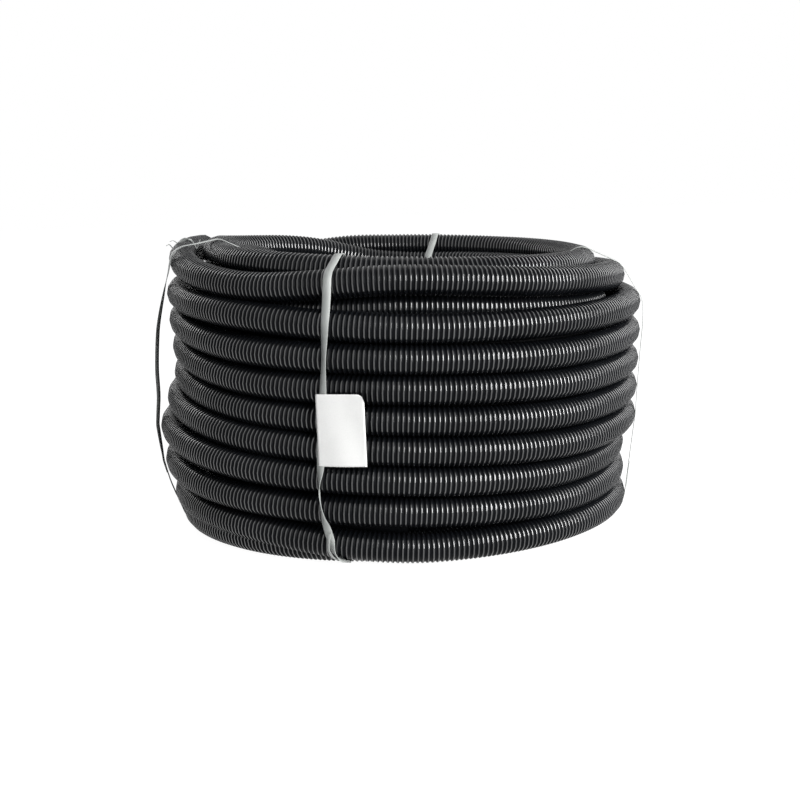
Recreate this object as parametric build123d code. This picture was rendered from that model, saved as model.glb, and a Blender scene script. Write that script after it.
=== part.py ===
# A strapped coil of black corrugated plastic conduit, standing on its end.
# Millimetres, +Z up along the coil's axis, origin on the floor at the middle of the coil.
# The photograph looks along +Y, so the front of the coil is at -Y.
# Azimuths are in degrees from the front, growing towards +X.
import os
from math import cos, hypot, pi, radians, sin, sqrt

from build123d import *

# Conduit
conduit_diameter = 32.0
turn_gap = 0.8  # between neighbouring turns of one layer

# Coil
coil_bore_diameter = 320.0
layer_count = 4
full_rows = 8  # close rows of the outer layer, under the top turn
top_turn_gap = 10.0  # open groove between the highest close row and the loose top turn
top_turn_inset_width = 10.0  # the top turn is wound a little smaller than the rows under it
top_slope = 25.0  # degrees that the loose top turns go down towards the bore
groove_fill = 4.0  # how far the grooves between turns are closed, past the turns' middles

# Straps
strap_width = 9.0
strap_thickness = 0.7
strap_clearance = 0.4
strap_weld_length = 32.0
strap_weld_height = 20.0  # lower end of the weld above the floor
strap_azimuths = {"strap_front": -17.0, "strap_right": 80.0, "strap_back": 168.0, "strap_left": -82.0}
loose_strap = "strap_left"
loose_strap_arch_height = 18.0  # how far the loose strap stands off the top turn

# Label, an A7 sheet folded round the front strap and glued to itself
label_sheet_width = 105.0
label_height = 74.0
label_paper = 0.2
label_bottom = 110.0
label_corner = 8.0  # cut off the flag's lower free corner
label_clearance = 0.1

turn_radius = conduit_diameter / 2
turn_pitch = conduit_diameter + turn_gap
layer_step = sqrt(conduit_diameter**2 - (turn_pitch / 2) ** 2)  # each layer lies in the last one's grooves
rest_height = strap_thickness + strap_clearance  # the straps' lower runs carry the coil


def layer_radius(layer):
    """Radius of a layer's centreline, counted from 1 at the bore."""
    return coil_bore_diameter / 2 + turn_radius + (layer - 1) * layer_step


def row_height(layer, row):
    """Height of a turn's middle, with rows counted from 0 at the floor."""
    raised = (layer_count - layer) % 2  # every other layer lies half a turn higher
    return rest_height + turn_radius + (row + raised / 2) * turn_pitch


def nested(low, high):
    """Middle of a turn that lies against two others, on their left as seen from the low one to the high one."""
    span = hypot(high[0] - low[0], high[1] - low[1])
    reach = sqrt(conduit_diameter**2 - (span / 2) ** 2)
    across = ((low[1] - high[1]) / span, (high[0] - low[0]) / span)
    middle = ((low[0] + high[0]) / 2, (low[1] + high[1]) / 2)
    return (middle[0] + reach * across[0], middle[1] + reach * across[1])


def close_rows(layer):
    """Middles of a layer's close turns, from the lowest up. The innermost layer ends one row short."""
    rows = full_rows - 1 if layer == 1 else full_rows
    return [(layer_radius(layer), row_height(layer, row)) for row in range(rows)]


def top_turns():
    """Middles of the loose turns side by side on top, from the outside inwards."""
    highest_row = close_rows(layer_count)[-1]
    outer = (highest_row[0] - top_turn_inset_width, highest_row[1] + turn_pitch + top_turn_gap)
    second = nested(nested(highest_row, outer), outer)
    inward = conduit_diameter * cos(radians(top_slope))
    down = conduit_diameter * sin(radians(top_slope))
    others = [(second[0] - turn * inward, second[1] - turn * down) for turn in range(1, layer_count - 2)]
    return [outer, second] + others


def surface_turns():
    """Middles of the turns that show, round the section: up the outside, over the top, down the bore."""
    outside = close_rows(layer_count)
    bore = close_rows(1)[::-1]
    top = top_turns()
    outside_groove = nested(outside[-1], top[0])
    bore_groove = nested(top[-1], bore[0])
    underside = [close_rows(layer)[0] for layer in range(2, layer_count)]
    return outside + [outside_groove] + top + [bore_groove] + bore + underside


def coil_section(turns):
    """The coil's section: a round lobe for each turn that shows, on a core that closes the grooves behind them."""
    core = offset(make_face(Polyline(*turns, close=True)), groove_fill, kind=Kind.ARC)
    return core + [Pos(*turn) * Circle(turn_radius) for turn in turns]


def make_coil(turns):
    """The conduit as it is wound: one turned solid with its bore."""
    return revolve(Plane.XZ * coil_section(turns), Axis.Z)


def strap_band(turns, inside, outside):
    """Section of a tight band round the turns, between two distances from them."""
    middles = make_hull(Polyline(*turns, close=True).edges())
    return (offset(middles, turn_radius + outside, kind=Kind.ARC)
            - offset(middles, turn_radius + inside, kind=Kind.ARC))


def make_strap(turns, azimuth):
    """A flat strap round the coil's section, with its ends lapped and welded low on the outside."""
    lap_start = strap_clearance + strap_thickness
    loop = strap_band(turns, strap_clearance, lap_start)
    weld_middle = (layer_radius(layer_count) + turn_radius, strap_weld_height + strap_weld_length / 2)
    weld_window = Pos(*weld_middle) * Rectangle(turn_radius, strap_weld_length)
    lap = strap_band(turns, lap_start, lap_start + strap_thickness) & weld_window
    strap = extrude(Plane.XZ * (loop + lap), strap_width / 2, both=True)
    return Rot(0, 0, azimuth - 90) * strap


def make_label():
    """A folded paper flag: a sleeve round the front strap, and glued leaves that lie along the coil."""
    coil_radius = layer_radius(layer_count) + turn_radius
    leaf_radius = coil_radius + label_clearance
    flag_angle = (label_sheet_width / 2 - strap_width / 2) / coil_radius
    reach = coil_radius + conduit_diameter
    wedge = make_face(Polyline((0, 0), (reach, 0), (reach * cos(flag_angle), reach * sin(flag_angle)), close=True))
    leaves = (Circle(leaf_radius + 2 * label_paper) - Circle(leaf_radius)) & wedge
    pocket_width = strap_width + 2 * label_clearance
    pocket_outside = coil_radius + strap_clearance + strap_thickness + label_clearance
    pocket_depth = pocket_outside - leaf_radius - label_paper
    pocket = Pos(pocket_outside - pocket_depth / 2, 0) * Rectangle(pocket_depth, pocket_width)
    sleeve = Pos(pocket_outside - pocket_depth / 2, 0) * Rectangle(
        pocket_depth + 2 * label_paper, pocket_width + 2 * label_paper)
    flag = extrude(leaves + sleeve - pocket, label_height)
    corner = Rot(0, 0, flag_angle * 180 / pi) * Pos(leaf_radius, 0, 0) * Rot(45, 0, 0) * Box(
        turn_radius, label_corner * sqrt(2), label_corner * sqrt(2))
    return Rot(0, 0, strap_azimuths["strap_front"] - 90) * Pos(0, 0, label_bottom) * (flag - corner)


def conduit_length():
    """Length of the whole conduit in metres, with the turns hidden inside the coil."""
    close_turns = [turn for layer in range(1, layer_count + 1) for turn in close_rows(layer)]
    return 2 * pi * sum(radius for radius, height in close_turns + top_turns()) / 1000


turns = surface_turns()
outer_top_turn = top_turns()[0]
arch_top = (outer_top_turn[0], outer_top_turn[1] + loose_strap_arch_height)

parts = {"conduit_coil": make_coil(turns), "label": make_label()}
for name, azimuth in strap_azimuths.items():
    held = turns + [arch_top] if name == loose_strap else turns
    parts[name] = make_strap(held, azimuth)

os.makedirs("parts", exist_ok=True)
for name, part in parts.items():
    export_step(part, f"parts/{name}.step")
print(f"conduit about {conduit_length():.1f} m long")
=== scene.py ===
from math import pi, radians

import bpy
import numpy as np
from mathutils import Euler, Matrix, Vector


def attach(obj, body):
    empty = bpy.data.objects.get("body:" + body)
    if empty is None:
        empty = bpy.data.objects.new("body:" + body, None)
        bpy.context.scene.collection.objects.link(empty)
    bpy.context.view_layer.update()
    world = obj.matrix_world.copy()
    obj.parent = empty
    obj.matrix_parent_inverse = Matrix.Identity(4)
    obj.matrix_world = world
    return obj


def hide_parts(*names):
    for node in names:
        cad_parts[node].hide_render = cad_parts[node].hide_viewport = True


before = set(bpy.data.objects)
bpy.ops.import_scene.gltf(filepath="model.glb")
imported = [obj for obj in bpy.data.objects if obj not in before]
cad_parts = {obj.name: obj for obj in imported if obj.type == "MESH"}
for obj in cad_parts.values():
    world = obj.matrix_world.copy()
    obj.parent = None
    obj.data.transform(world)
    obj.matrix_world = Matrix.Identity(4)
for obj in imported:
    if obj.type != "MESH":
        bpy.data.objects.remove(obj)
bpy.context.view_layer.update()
mm = 0.001


class Wire:
    def __init__(self, tree, socket=None):
        self.tree, self.socket = tree, socket

    def node(self, kind, settings={}, sockets={}, out=0):
        made = self.tree.nodes.new(kind)
        for key, value in settings.items():
            setattr(made, key, value)
        for key, value in sockets.items():
            if isinstance(value, Wire):
                self.tree.links.new(value.socket, made.inputs[key])
            else:
                made.inputs[key].default_value = value
        return Wire(self.tree, made.outputs[out]) if len(made.outputs) else None

    def sum(self, how, a, b):
        return self.node("ShaderNodeMath", {"operation": how}, {0: a, 1: b})

    def __add__(self, other):
        return self.sum("ADD", self, other)

    def __radd__(self, other):
        return self.sum("ADD", other, self)

    def __sub__(self, other):
        return self.sum("SUBTRACT", self, other)

    def __rsub__(self, other):
        return self.sum("SUBTRACT", other, self)

    def __mul__(self, other):
        return self.sum("MULTIPLY", self, other)

    def __rmul__(self, other):
        return self.sum("MULTIPLY", other, self)

    def mix(self, low, high):  # this value blends two colours
        return self.node("ShaderNodeMix", {"data_type": "RGBA"}, {0: self, 6: low, 7: high}, out=2)

    def clamp(self, low, high):  # this value's range low to high, spread over 0 to 1
        return self.node("ShaderNodeMapRange", {}, {0: self, 1: low, 2: high})


def newMaterial(name):
    material = bpy.data.materials.new(name)
    material.use_nodes = True
    material.node_tree.nodes.clear()
    return material, Wire(material.node_tree)


def rgb(r, g, b):
    return (r, g, b, 1)


plastic = {
    "colour": rgb(0.0022, 0.0026, 0.0034),
    # dusty grey for dust; the rib crests also lean towards it, painted light on the crests that leaves
    # painted shade in the valleys
    "dustyAndLitCrest": rgb(0.008, 0.009, 0.011),
    "roughness": 0.42,
    "sheen": 0.06,  # how much the dull skin mirrors
    "polish": 0.15,  # roughness of the rubbed crests
    "gloss": 2.0,  # index of refraction there
}


def conduitMaterial():
    material, w = newMaterial("conduitPlastic")
    place = w.node("ShaderNodeTexCoord", out="Object")
    cloud = w.node("ShaderNodeTexNoise", {}, {"Vector": place, "Scale": 14.0, "Detail": 3.0})
    fine = w.node("ShaderNodeTexNoise", {}, {"Vector": place, "Scale": 420.0, "Detail": 2.0})
    crest = w.node("ShaderNodeAttribute", {"attribute_name": "crest"}, out="Fac")
    # cloud and fine noise paint dust; the crest term lightens the rib crests, so the valleys and the inside
    # of the open ends keep painted shade
    dustAndGrooveShade = cloud.clamp(0.35, 0.75) * 0.35 + crest * 0.05 + fine.clamp(0.45, 0.8) * 0.12
    rubbed = crest.clamp(0.95, 1.0) * (0.7 + cloud.clamp(0.3, 0.7) * 0.3)
    bump = w.node("ShaderNodeBump", {}, {"Height": fine, "Strength": 0.12, "Distance": 0.0004})
    skin = w.node("ShaderNodeBsdfPrincipled", {}, {
        "Base Color": dustAndGrooveShade.mix(plastic["colour"], plastic["dustyAndLitCrest"]),
        "Roughness": plastic["roughness"] + cloud.clamp(0.3, 0.8) * 0.10,
        "Coat Weight": rubbed, "Coat Roughness": plastic["polish"], "Coat IOR": plastic["gloss"],
        "Normal": bump, "IOR": 1.5, "Specular IOR Level": plastic["sheen"]})
    w.node("ShaderNodeOutputMaterial", {}, {"Surface": skin})
    return material


strapFinish = {"colour": rgb(0.42, 0.435, 0.42), "shade": rgb(0.27, 0.285, 0.275), "roughness": 0.36}


def strapMaterial():
    material, w = newMaterial("strapPlastic")
    run = w.node("ShaderNodeUVMap", {"uv_map": "run"})
    grain = w.node("ShaderNodeTexWave", {"wave_type": "BANDS", "bands_direction": "DIAGONAL"},
                   {"Vector": run, "Scale": 260.0, "Distortion": 0.4})
    place = w.node("ShaderNodeTexCoord", out="Object")
    cloud = w.node("ShaderNodeTexNoise", {}, {"Vector": place, "Scale": 60.0, "Detail": 3.0})
    mask = grain * 0.35 + cloud.clamp(0.35, 0.7) * 0.4
    bump = w.node("ShaderNodeBump", {}, {"Height": grain, "Strength": 0.3, "Distance": 0.0002})
    skin = w.node("ShaderNodeBsdfPrincipled", {}, {
        "Base Color": mask.mix(strapFinish["colour"], strapFinish["shade"]),
        "Roughness": strapFinish["roughness"] + grain * 0.1,
        "Normal": bump})
    w.node("ShaderNodeOutputMaterial", {}, {"Surface": skin})
    return material


paperFinish = {"colour": rgb(0.82, 0.82, 0.805), "fibre": rgb(0.75, 0.75, 0.735), "roughness": 0.62}


def paperMaterial():
    material, w = newMaterial("labelPaper")
    place = w.node("ShaderNodeTexCoord", out="Object")
    fibre = w.node("ShaderNodeTexNoise", {}, {"Vector": place, "Scale": 900.0, "Detail": 4.0})
    cloud = w.node("ShaderNodeTexNoise", {}, {"Vector": place, "Scale": 30.0, "Detail": 2.0})
    mask = fibre.clamp(0.4, 0.7) * 0.5 + cloud.clamp(0.4, 0.7) * 0.4
    bump = w.node("ShaderNodeBump", {}, {"Height": fibre, "Strength": 0.15, "Distance": 0.0001})
    skin = w.node("ShaderNodeBsdfPrincipled", {}, {
        "Base Color": mask.mix(paperFinish["colour"], paperFinish["fibre"]),
        "Roughness": paperFinish["roughness"] + fibre * 0.1,
        "Normal": bump})
    w.node("ShaderNodeOutputMaterial", {}, {"Surface": skin})
    return material


conduitSkin, strapSkin, paperSkin = conduitMaterial(), strapMaterial(), paperMaterial()
print("materials made")


# a place on the coil is an angle in degrees from the front, growing to the right, a distance
# from the coil's axis and a height, both in mm

def spot(reach, angle, height):
    a = np.radians(angle)
    return np.stack([reach * np.sin(a), -reach * np.cos(a), height + 0 * a], -1)


def unit(vectors):
    return vectors / np.linalg.norm(vectors, axis=1)[:, None]


def runAlong(line):  # length from a line's start to each of its points
    return np.concatenate([[0], np.cumsum(np.linalg.norm(np.diff(line, axis=0), axis=1))])


def smoothLine(places, values, at, calm=False):
    places, values = np.array(places, float), np.array(values, float)
    slopes = np.gradient(values, places)
    if calm:  # never swings past the given values
        steps = np.diff(values)
        slopes[1:-1] *= steps[1:] * steps[:-1] > 0
        slopes[[0, -1]] = 0
    i = np.clip(np.searchsorted(places, at) - 1, 0, len(places) - 2)
    gap = places[i + 1] - places[i]
    t = np.clip((at - places[i]) / gap, 0, 1)
    return ((2 * t**3 - 3 * t**2 + 1) * values[i] + (t**3 - 2 * t**2 + t) * gap * slopes[i]
            + (3 * t**2 - 2 * t**3) * values[i + 1] + (t**3 - t**2) * gap * slopes[i + 1])


conduit = {
    "radius": 16.0,
    "valley": 14.5,
    "pitch": 5.0,
    # along one rib: place as a share of the pitch, height, and the surface's lean there in degrees
    "rib": ((-0.11, 1.0, -12), (0.11, 1.0, 12), (0.20, 0.82, 45),
            (0.34, 0.0, 30), (0.66, 0.0, -30), (0.80, 0.82, -45)),
    "hiddenRib": ((-0.19, 1.0, -10), (0.19, 1.0, 10), (0.34, 0.0, 40), (0.66, 0.0, -40)),
    "plainStep": 24.0,  # between the rings of a tube that doesn't show
    "pathPoints": 4,  # on its path for each degree
    "look": 3.0,  # how far ahead and behind its direction is taken
    "wall": 1.0,
    "mouth": 26.0,  # how deep an open end is
    "mouthStep": 2.5,
    "boreRib": 0.9,
    "lowest": 17.2,  # middle of a turn that lies on the straps
}

# the outside rows from the top: heights at 80 and 40 degrees left, the front, 40 and 80 right
rowHeights = [
    (309, 289, 294, 282, 274),
    (272, 260, 247, 242, 243),
    (241, 224, 215, 208, 210),
    (210, 191, 184, 176, 177),
    (179, 160, 152, 143, 145),
    (150, 131, 121, 111, 112),
    (117, 101, 90, 79, 80),
    (77, 66, 57, 48, 49),
    (39, 33, 18, 17, 17),
    (17, 17, 17, 17, 17),
]
# and their distance from the axis at the left, the front, the right and the back
rowReaches = [
    (250, 248, 249, 246),
    (254, 259, 267, 261),
    (254, 259, 266, 259),
    (252, 258, 264, 258),
    (252, 257, 262, 258),
    (262, 259, 260, 261),
    (272, 260, 245, 258),
    (269, 257, 245, 255),
    (260, 253, 246, 240),
    (252, 240, 208, 190),
]
freeEnd = {"angle": -72, "over": 28, "rise": 7}  # the upper free end lifts off past this angle


def outerTurn(at):
    heightPlaces = [360 * n + side for n in range(len(rowHeights)) for side in (-80, -40, 0, 40, 80)]
    reachPlaces = [360 * n + side for n in range(len(rowReaches)) for side in (-90, 0, 90, 180)]
    heights = smoothLine(heightPlaces, np.ravel(rowHeights), at)
    heights = heights + freeEnd["rise"] * np.clip((freeEnd["angle"] - at) / freeEnd["over"], 0, 1)
    return smoothLine(reachPlaces, np.ravel(rowReaches), at), np.maximum(heights, conduit["lowest"])


# turns inside the rim: angle, distance, height
topRun = [
    # the free inner end climbs out of the bore
    (-155, 158, 232), (-143, 164, 256), (-130, 172, 279), (-113, 178, 298), (-97, 184, 305),
    # the innermost turn, round to the back
    (-80, 186, 302), (-60, 187, 293), (-30, 187, 285), (0, 186, 281), (45, 186, 277), (90, 187, 275),
    (150, 187, 277), (180, 187, 280), (190, 188, 284), (200, 189, 292), (210, 190, 300),
    # it climbs outwards over the next turn and down again
    (220, 192, 306), (228, 197, 309), (237, 203, 311), (247, 209, 313), (256, 212, 315), (267, 212, 317),
    (280, 211, 315), (305, 214, 311), (330, 216, 306), (360, 216, 300), (400, 216, 293),
    # the second turn at the back
    (450, 216, 290), (495, 217, 294), (540, 217, 300), (558, 221, 301), (570, 222, 297),
    # it dives under the crossing and becomes the turn in the groove
    (580, 223, 289), (588, 223, 283), (598, 222, 280), (612, 221, 282), (640, 224, 287), (655, 226, 281),
    (680, 229, 268), (700, 232, 264), (720, 232, 265), (750, 231, 257), (780, 232, 249), (795, 230, 246),
]
# rows up the bore, then one round farther out under the top turns
boreRun = [
    (0, 176, 33), (360, 176, 58), (2380, 176, 240), (2480, 184, 248), (2560, 199, 249), (2900, 200, 247),
]
# the hidden layers' lowest rows, which show from below
bottomRun = [(0, 202, 17), (300, 202, 17), (420, 222, 38), (800, 226, 40)]


def topTurn(at):
    places, reaches, heights = zip(*topRun)
    return smoothLine(places, reaches, at), smoothLine(places, heights, at)


def boreTurn(at):
    places, reaches, heights = zip(*boreRun)
    return smoothLine(places, reaches, at), smoothLine(places, heights, at)


def bottomTurn(at):
    places, reaches, heights = zip(*bottomRun)
    return smoothLine(places, reaches, at), np.maximum(smoothLine(places, heights, at), conduit["lowest"])


core = {
    "inner": 201.7,
    "outer": 229.4,
    "foot": 36,
    "climb": 31,  # with each round
    "change": 2520,  # angle at which the inner layer ends
}


def coreTurn(at):  # two hidden layers, one up and the next down
    climbed = np.where(at < core["change"], at, 2 * core["change"] - at)
    return (np.where(at < core["change"], core["inner"], core["outer"]),
            core["foot"] + climbed * core["climb"] / 360)


def meshObject(name, points, faces, material, crest=None, normals=None):
    mesh = bpy.data.meshes.new(name)
    mesh.from_pydata((points * mm).tolist(), [], faces)
    mesh.polygons.foreach_set("use_smooth", [True] * len(mesh.polygons))
    if crest is not None:
        layer = mesh.attributes.new("crest", "FLOAT", "POINT")
        layer.data.foreach_set("value", crest.astype(np.float32))
    if normals is not None:
        mesh.normals_split_custom_set_from_vertices(normals.tolist())
    mesh.materials.append(material)
    made = bpy.data.objects.new(name, mesh)
    bpy.context.collection.objects.link(made)
    return made


def tubeFaces(rings, around, closed=False):  # the skin over rings of points, capped or joined end to end
    i = np.arange(rings - 1)[:, None] * around
    j = np.arange(around)[None, :]
    k = (j + 1) % around
    faces = np.stack([i + j, i + k, i + around + k, i + around + j], -1).reshape(-1, 4).tolist()
    last = (rings - 1) * around
    if closed:
        return faces + [[last + n, last + (n + 1) % around, (n + 1) % around, n] for n in range(around)]
    return faces + [list(range(around)), [last + n for n in reversed(range(around))]]


def ribStations(length, rib):  # places along a tube, with the height and lean of its surface there
    if rib is None:
        stations = np.linspace(0, length, int(length / conduit["plainStep"]))
        return stations, 0 * stations, 0 * stations
    ribs = int(length / conduit["pitch"])
    places, lift, lean = (np.tile([point[c] for point in conduit[rib]], ribs) for c in range(3))
    stations = (np.repeat(np.arange(ribs), len(conduit[rib])) + 0.5 + places) * length / ribs
    return stations, lift, lean


def addMouth(tube):  # the bore seen in a cut end: rings from deep inside up to the tube's first ring
    count = int(conduit["mouth"] / conduit["mouthStep"])
    depths = np.linspace(conduit["mouth"], 0, count)
    inside = {key: np.repeat(values[:1], count, 0) for key, values in tube.items()}
    inside["centre"] = inside["centre"] + inside["tangent"] * depths[:, None]
    inside["width"] = conduit["valley"] - conduit["wall"] + conduit["boreRib"] * (np.arange(count)[::-1] % 2)
    inside["lift"] = inside["lean"] = np.zeros(count)
    inside["facing"] = -np.ones(count)
    for key in tube:
        tube[key] = np.concatenate([inside[key], tube[key]])


def makeStretch(name, turn, start, end, rib, around, opened):
    angles = np.linspace(start, end, (end - start) * conduit["pathPoints"] + 2)
    reach, height = turn(angles)
    path = spot(reach, angles, height)
    run = runAlong(path)
    stations, lift, lean = ribStations(run[-1], rib)
    centre, ahead, behind = (np.stack([np.interp(stations + step, run, path[:, c]) for c in range(3)], -1)
                             for step in (0, conduit["look"], -conduit["look"]))
    tangent = unit(ahead - behind)
    side = unit(np.cross((0, 0, 1), tangent))
    tube = {
        "centre": centre, "tangent": tangent, "side": side, "up": np.cross(tangent, side),
        "width": conduit["valley"] + (conduit["radius"] - conduit["valley"]) * lift,
        "lift": lift, "lean": np.radians(lean), "facing": np.ones(len(lift)),
    }
    if opened:
        addMouth(tube)
    a = np.arange(around) * 2 * pi / around
    ring = (np.cos(a)[None, :, None] * tube["side"][:, None]
            + np.sin(a)[None, :, None] * tube["up"][:, None])
    points = tube["centre"][:, None] + ring * tube["width"][:, None, None]
    lean = tube["lean"][:, None, None]
    normals = ring * np.cos(lean) + tube["tangent"][:, None] * np.sin(lean)
    normals *= tube["facing"][:, None, None]
    made = meshObject(name, points.reshape(-1, 3), tubeFaces(len(points), around), conduitSkin,
                      np.repeat(tube["lift"], around), normals.reshape(-1, 3))
    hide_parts("conduit_coil")
    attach(made, "root")


# stretches of the one conduit: its path, first and last angle, rib, points round it, open end
stretches = {
    "conduit_outer_top": (outerTurn, -108, 900, "rib", 14, True),
    "conduit_outer_middle": (outerTurn, 900, 1980, "rib", 14, False),
    "conduit_outer_low": (outerTurn, 1980, 3270, "rib", 14, False),
    "conduit_top_turns": (topTurn, -155, 795, "rib", 12, True),
    "conduit_bore_turns": (boreTurn, 0, 2900, "hiddenRib", 10, False),
    "conduit_bottom_turns": (bottomTurn, 0, 800, "hiddenRib", 8, False),
    "conduit_core": (coreTurn, 0, 5040, None, 8, False),
}
for name, facts in stretches.items():
    makeStretch(name, *facts)
print("conduit wound")


def turnsAt(angle):  # every turn near the surface that passes one angle, as (distance, height)
    found = []
    for turn, start, end, rib, _, _ in stretches.values():
        if rib:
            ways = [angle + 360 * n for n in range(-1, 10) if start <= angle + 360 * n <= end]
            found += list(zip(*turn(np.array(ways, float))))
    return np.array(found)


band = {
    "width": 9.0,
    "thick": 0.7,
    "gap": 0.6,
    "step": 3.0,  # between its rings
    "arcPoints": 64,  # round each turn that it goes over
    "thinEdge": 0.6,  # bevel of its edges, in half thicknesses
    "lapLift": 1.05,  # in thicknesses
    "lapDrift": 0.7,
    "lapShare": 0.9,  # of the width
}


def outline(dots):  # the points of a tight line round all the dots, anticlockwise
    dots = dots[np.lexsort((dots[:, 1], dots[:, 0]))]
    sides = []
    for ordered in (dots, dots[::-1]):
        kept = []
        for p in ordered:
            while len(kept) > 1 and np.cross(kept[-1] - kept[-2], p - kept[-2]) <= 0:
                kept.pop()
            kept.append(p)
        sides += kept[:-1]
    return np.array(sides)


def tightLoop(angle, gap):  # a band round the turns at one angle, from the bore's foot up, closed
    a = np.linspace(0, 2 * pi, band["arcPoints"], endpoint=False)
    rim = np.stack([np.cos(a), np.sin(a)], -1) * (conduit["radius"] + gap)
    loop = outline((turnsAt(angle)[:, None] + rim[None]).reshape(-1, 2))[::-1]
    loop = np.roll(loop, -np.argmin(loop[:, 0] + loop[:, 1]), axis=0)
    return np.vstack([loop, loop[:1]])


def ribbon(name, node, line, across, out, width, thick, closed=False):
    # a flat band: its width lies along across and its thickness along out
    half, rim = width / 2, thick / 2
    flat = half - rim * band["thinEdge"]
    shape = [(half, 0), (flat, rim), (-flat, rim), (-half, 0), (-flat, -rim), (flat, -rim)]
    corners = len(shape)
    points = np.stack([line + across * x + out * y for x, y in shape], 1)
    made = meshObject(name, points.reshape(-1, 3), tubeFaces(len(line), corners, closed), strapSkin)
    aside = [x for x, y in shape]
    place = np.stack([np.repeat(runAlong(line), corners), np.tile(aside, len(line))], -1) * mm
    layer = made.data.uv_layers.new(name="run")
    loops = np.zeros(len(made.data.loops), int)
    made.data.loops.foreach_get("vertex_index", loops)
    layer.data.foreach_set("uv", place[loops].ravel())
    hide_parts(node)
    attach(made, "root")


# along each strap in mm from the bore's foot: its angle, its twist, how far it stands off and the
# welded lap; where the weld gapes, the lap is lifted, drifts aside and bends
strapRuns = {
    "strap_front": {
        "angle": [(0, -18.5), (300, -16.6), (350, -16.2), (420, -15.7), (480, -16.1), (540, -17.0),
                  (600, -17.9), (625, -18.2), (650, -18.0), (672, -17.2), (690, -16.3), (702, -15.1),
                  (712, -14.8), (722, -15.4), (740, -16.5), (775, -18.5)],
        "twist": [(0, 0), (425, 0), (447, 8), (468, 28), (490, 44), (512, 32), (535, 12), (598, 13),
                  (607, 36), (614, 57), (625, 76), (637, 66), (649, 46), (667, 6), (678, 8), (688, 44),
                  (696, 50), (705, 12), (712, 0), (775, 0)],
        "lap": (668, 704),
        "gape": {"lift": 3.0, "drift": 3.9, "bend": 42},
        "lapShare": 0.6,
    },
    "strap_right": {
        "angle": [(0, 80), (756, 80)],
        "off": [(0, 0), (400, 0), (430, 2.5), (470, 1), (756, 0)],
        "lap": (605, 637),
    },
    "strap_back": {
        "angle": [(0, 168), (240, 167.5), (300, 166.4), (340, 165.8), (400, 167), (766, 168)],
        "lap": (640, 672),
    },
    "strap_left": {
        "angle": [(0, -82), (340, -81), (370, -76), (392, -71), (412, -70), (430, -73), (450, -77.5),
                  (480, -82), (810, -82)],
        "twist": [(0, 0), (440, 0), (490, 20), (560, 26), (640, 20), (690, 0), (810, 0)],
        "off": [(0, 0), (440, 0), (470, 2), (520, 6), (560, 5), (600, 1.5), (640, 1.5), (690, 2),
                (720, 0), (810, 0)],
        "lap": (655, 687),
    },
}
noChange = [(0, 0), (1, 0)]
noGape = {"lift": 0, "drift": 0, "bend": 0}


def twisted(across, out, turn):  # both directions of a band, turned about its run by so many degrees
    t = np.radians(turn)[:, None]
    return np.cos(t) * across + np.sin(t) * out, np.cos(t) * out - np.sin(t) * across


def makeStrap(name, facts):
    loop = tightLoop(facts["angle"][0][1], band["gap"])
    run = runAlong(loop)
    at = np.arange(0, run[-1], band["step"])
    flat = np.stack([np.interp(at, run, loop[:, c]) for c in range(2)], -1)
    ahead = unit(np.roll(flat, -1, axis=0) - np.roll(flat, 1, axis=0))
    outward = np.stack([-ahead[:, 1], ahead[:, 0]], -1)
    angle, twist, off = (smoothLine(*zip(*facts.get(key, noChange)), at, calm=True)
                         for key in ("angle", "twist", "off"))
    edge = np.abs(np.sin(np.radians(twist))) * band["width"] / 2  # keeps a twisted edge off the turns
    flat = flat + outward * (off + edge)[:, None]
    line = spot(flat[:, 0], angle, flat[:, 1])
    a = np.radians(angle)
    forward = unit(np.roll(line, -1, axis=0) - np.roll(line, 1, axis=0))
    out = unit(np.cross(forward, np.stack([np.cos(a), np.sin(a), 0 * a], -1)))
    across = np.cross(out, forward)
    ribbon(name + "_band", name, line, *twisted(across, out, twist), band["width"], band["thick"],
           closed=True)
    start, end = facts["lap"]
    lap = (at > start) & (at < end)
    gape = facts.get("gape", noGape)
    swell = np.sin(np.linspace(0, pi, lap.sum()))
    lift = band["thick"] * band["lapLift"] + gape["lift"] * swell**2
    drift = band["lapDrift"] - gape["drift"] * swell
    over = line[lap] + out[lap] * lift[:, None] + across[lap] * drift[:, None]
    ribbon(name + "_lap", name, over, *twisted(across[lap], out[lap], gape["bend"] * swell),
           band["width"] * facts.get("lapShare", band["lapShare"]), band["thick"])
    return line


strapLines = {name: makeStrap(name, facts) for name, facts in strapRuns.items()}


# the left strap's torn end: the width of each strand, and its points as distance, angle and height
torn = [
    (4.5, [(263, -86, 318), (259, -85.5, 325), (252, -85, 330), (245, -84, 331.5), (238, -83, 328),
           (233, -82, 320)]),
    (1.6, [(233, -82, 320), (236, -82.5, 327), (239, -83, 331), (242, -82, 332)]),
    (1.2, [(233, -82, 321), (231, -83, 327), (229, -84.5, 331)]),
    (1.3, [(262, -86, 322), (266, -87, 326), (269, -86, 325)]),
    (1.1, [(256, -85, 328), (260, -84, 331), (264, -84.5, 330)]),
]
strand = {"thick": 0.5, "steps": 6, "lean": 0.3}


def makeTornEnd():
    for n, (width, points) in enumerate(torn):
        at = np.linspace(0, len(points) - 1, len(points) * strand["steps"])
        reach, angle, height = (smoothLine(range(len(points)), values, at) for values in zip(*points))
        line = spot(reach, angle, height)
        forward = unit(np.gradient(line, axis=0))
        across = unit(np.cross(forward, (-1, 0, strand["lean"] * n)))
        ribbon("strap_left_strand_%d" % (n + 1), "strap_left", line, across, np.cross(across, forward),
               width, strand["thick"])


makeTornEnd()
print("straps pulled round")


paper = {
    "left": -18.2,  # degrees from the front
    "right": -7.9,
    "foot": 111,
    "height": 74,
    "lift": 1.6,
    "thick": 0.2,
    "corner": 8,  # height of the rounded upper corner
    "cornerShare": 0.16,  # and its share of the width
    "wave": 1.0,
    "waves": (5, 2.5),  # its phase across and up the sheet, in radians
    "curl": 0.8,  # how far the free lower corner stands off
}


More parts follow.
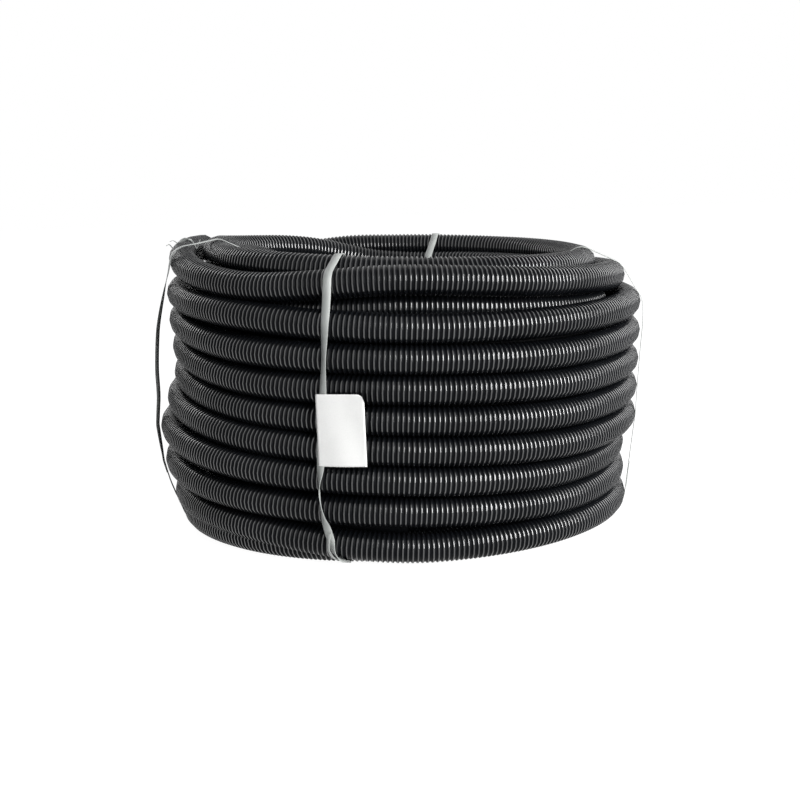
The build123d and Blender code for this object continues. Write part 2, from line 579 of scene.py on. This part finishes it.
def strapReach(low, high):  # how far out the front strap runs between two heights
    line = strapLines["strap_front"]
    reach = np.hypot(line[:, 0], line[:, 1])
    outside = (reach > rowReaches[0][1] - conduit["radius"]) & (line[:, 2] > low) & (line[:, 2] < high)
    return reach[outside].max()


def makeLabel():
    columns, rows = 26, 40
    v, u = np.meshgrid(np.linspace(0, 1, rows), np.linspace(0, 1, columns), indexing="ij")
    angle = paper["left"] + (paper["right"] - paper["left"]) * u
    top = paper["foot"] + paper["height"]
    rounding = np.clip((u - 1) / paper["cornerShare"] + 1, 0, 1)
    height = np.minimum(paper["foot"] + paper["height"] * v,
                        top - paper["corner"] * (1 - np.sqrt(1 - rounding**2)))
    phase = u * paper["waves"][0] + v * paper["waves"][1]
    wave = paper["wave"] * np.sin(phase) * u + paper["curl"] * u**2 * (1 - v)
    reach = strapReach(paper["foot"], top) + paper["lift"] + wave
    sheets = [spot(reach - depth, angle, height).reshape(-1, 3) for depth in (0, paper["thick"])]
    number = np.arange(columns * rows).reshape(rows, columns)
    quads = np.stack([number[:-1, :-1], number[:-1, 1:], number[1:, 1:], number[1:, :-1]], -1)
    quads = quads.reshape(-1, 4)
    rim = np.concatenate([number[0], number[1:, -1], number[-1, -2::-1], number[-2:0:-1, 0]])
    following = np.roll(rim, -1)
    back = columns * rows
    edge = np.stack([rim, rim + back, following + back, following], -1)
    faces = np.concatenate([quads, quads[:, ::-1] + back, edge]).tolist()
    made = meshObject("label_sheet", np.concatenate(sheets), faces, paperSkin)
    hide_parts("label")
    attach(made, "root")


makeLabel()
print("label set")


view = {"place": (-0.0032, -1.595, 0.410), "tilt": 80, "roll": -2.2, "film": 36, "lens": 60.525}


def makeCamera():
    lens = bpy.data.cameras.new("camera")
    lens.sensor_width, lens.sensor_fit, lens.lens = view["film"], "HORIZONTAL", view["lens"]
    lens.clip_start, lens.clip_end = 0.05, 60
    camera = bpy.data.objects.new("camera", lens)
    camera.matrix_world = (Matrix.Translation(view["place"])
                           @ Euler((radians(view["tilt"]), 0, 0)).to_matrix().to_4x4()
                           @ Matrix.Rotation(radians(view["roll"]), 4, "Z"))
    bpy.context.collection.objects.link(camera)
    bpy.context.scene.camera = camera


# metres and watts
lamps = {
    "window": {"place": (1.15, -2.16, 1.06), "size": (0.6, 1.6), "power": 53},
    "side": {"place": (2.24, -0.9, 1.0), "size": (0.6, 1.6), "power": 75},
    "fill": {"place": (-1.6, 1.9, 1.4), "size": (0.6, 1.6), "power": 12},
    "rim": {"place": (1.75, 1.45, 1.1), "size": (1.5, 1.6), "power": 22},
}
lampAim = (0, 0, 0.15)


def makeLamps():
    for name, facts in lamps.items():
        light = bpy.data.lights.new(name, "AREA")
        light.shape, light.energy = "RECTANGLE", facts["power"]
        light.size, light.size_y = facts["size"]
        lamp = bpy.data.objects.new(name, light)
        lamp.location = facts["place"]
        aim = Vector(lampAim) - lamp.location
        lamp.rotation_euler = aim.to_track_quat("-Z", "Y").to_euler()
        lamp.visible_camera = False
        bpy.context.collection.objects.link(lamp)


def seenDirectly(w):  # rays that the camera, a mirror or glass sends
    camera = w.node("ShaderNodeLightPath", out="Is Camera Ray")
    glossy = w.node("ShaderNodeLightPath", out="Is Glossy Ray")
    through = w.node("ShaderNodeLightPath", out="Is Transmission Ray")
    return w.node("ShaderNodeMath", {"operation": "ADD", "use_clamp": True},
                  {0: camera + glossy, 1: through})


studio = {
    "light": rgb(0.92, 0.95, 1.0),  # what the world sheds on the coil
    "lightLevel": 0.17,
    "floor": rgb(0.8, 0.8, 0.8),
    "floorSeen": rgb(0.22, 0.22, 0.22),  # keeps the shadow on the white
    "floorWhite": 0.97,
    "floorHalf": 9000,  # mm
}


def makeWorld():
    world = bpy.data.worlds.new("studio")
    bpy.context.scene.world = world
    world.use_nodes = True
    world.node_tree.nodes.clear()
    w = Wire(world.node_tree)
    dim = w.node("ShaderNodeBackground", {}, {"Color": studio["light"], "Strength": studio["lightLevel"]})
    white = w.node("ShaderNodeBackground", {}, {"Color": rgb(1, 1, 1), "Strength": 1.0})
    both = w.node("ShaderNodeMixShader", {}, {0: seenDirectly(w), 1: dim, 2: white})
    w.node("ShaderNodeOutputWorld", {}, {"Surface": both})


def makeFloor():
    material, w = newMaterial("paleFloor")
    seen = seenDirectly(w)
    matt = w.node("ShaderNodeBsdfDiffuse", {}, {"Color": seen.mix(studio["floor"], studio["floorSeen"])})
    white = w.node("ShaderNodeEmission", {},
                   {"Color": rgb(1, 1, 1), "Strength": seen * studio["floorWhite"]})
    both = w.node("ShaderNodeAddShader", {}, {0: matt, 1: white})
    w.node("ShaderNodeOutputMaterial", {}, {"Surface": both})
    corners = np.array([(-1, -1, 0), (1, -1, 0), (1, 1, 0), (-1, 1, 0)]) * studio["floorHalf"]
    floor = meshObject("floor", corners, [(0, 1, 2, 3)], material)


makeCamera()
makeLamps()
makeWorld()
makeFloor()
bpy.context.scene.view_settings.view_transform = "Standard"
print("stage set")
